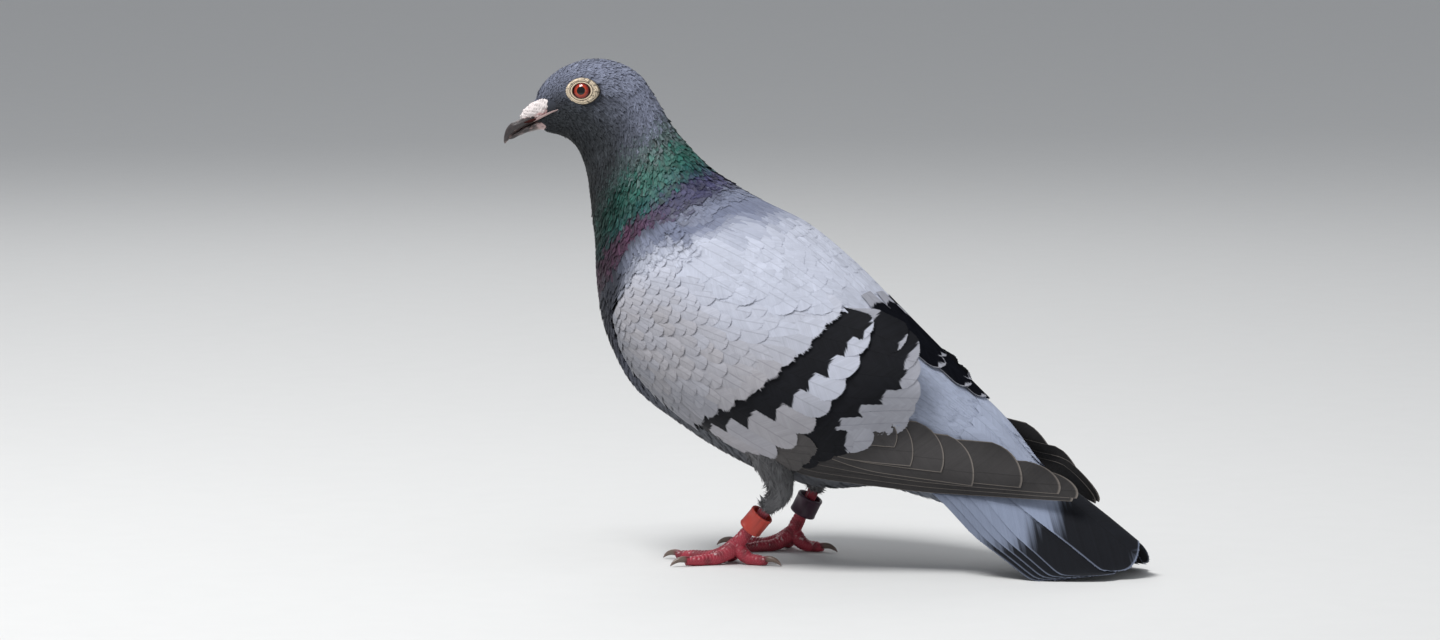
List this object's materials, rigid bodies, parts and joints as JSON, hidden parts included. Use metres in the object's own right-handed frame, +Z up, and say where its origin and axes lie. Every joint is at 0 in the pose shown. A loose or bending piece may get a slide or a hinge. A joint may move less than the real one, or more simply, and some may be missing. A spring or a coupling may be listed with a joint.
{
  "type": "pigeon",
  "caption": "Life-size still model of a standing blue-bar homing pigeon, head turned to its left, with a coloured ring on each leg.",
  "frame": {"origin": "on the floor under the middle of the bird's box from bill tip to tail tip and from side to side", "axes": "+Z up, the bird heads along -Y, +X is its left side"},
  "size_m": [0.1012, 0.247, 0.1831],
  "materials": {
    "head_plumage": "soft matte slate-blue feathers",
    "neck_plumage": "iridescent green and purple neck feathers with a silky sheen",
    "body_plumage": "soft matte grey feathers",
    "wing_plumage": "smooth pale grey feathers with two black bars and dark flight feathers",
    "tail_plumage": "smooth blue-grey tail feathers with a dark end band",
    "foot_skin": "dry red scaled skin",
    "pale_skin": "powdery pale wrinkled skin",
    "horn": "satin dark horn",
    "claw": "satin horn, pale to dark",
    "eye": "wet gloss, orange-red iris round a black pupil",
    "ring_left": "worn satin orange-red plastic",
    "ring_right": "worn dark purple-grey plastic"
  },
  "bodies": {
    "root": {"head": "head_plumage", "neck": "neck_plumage", "trunk": "body_plumage", "tail": "tail_plumage", "bill_upper": "horn", "bill_lower": "horn", "cere": "pale_skin", "wing_left": "wing_plumage", "eye_left": "eye", "orbit_left": "pale_skin", "leg_left": "body_plumage", "ring_left": "ring_left", "foot_left": "foot_skin", "claw_left_outer": "claw", "claw_left_middle": "claw", "claw_left_inner": "claw", "claw_left_hind": "claw", "wing_right": "wing_plumage", "eye_right": "eye", "orbit_right": "pale_skin", "leg_right": "body_plumage", "ring_right": "ring_right", "foot_right": "foot_skin", "claw_right_outer": "claw", "claw_right_middle": "claw", "claw_right_inner": "claw", "claw_right_hind": "claw"}
  },
  "joints": []
}
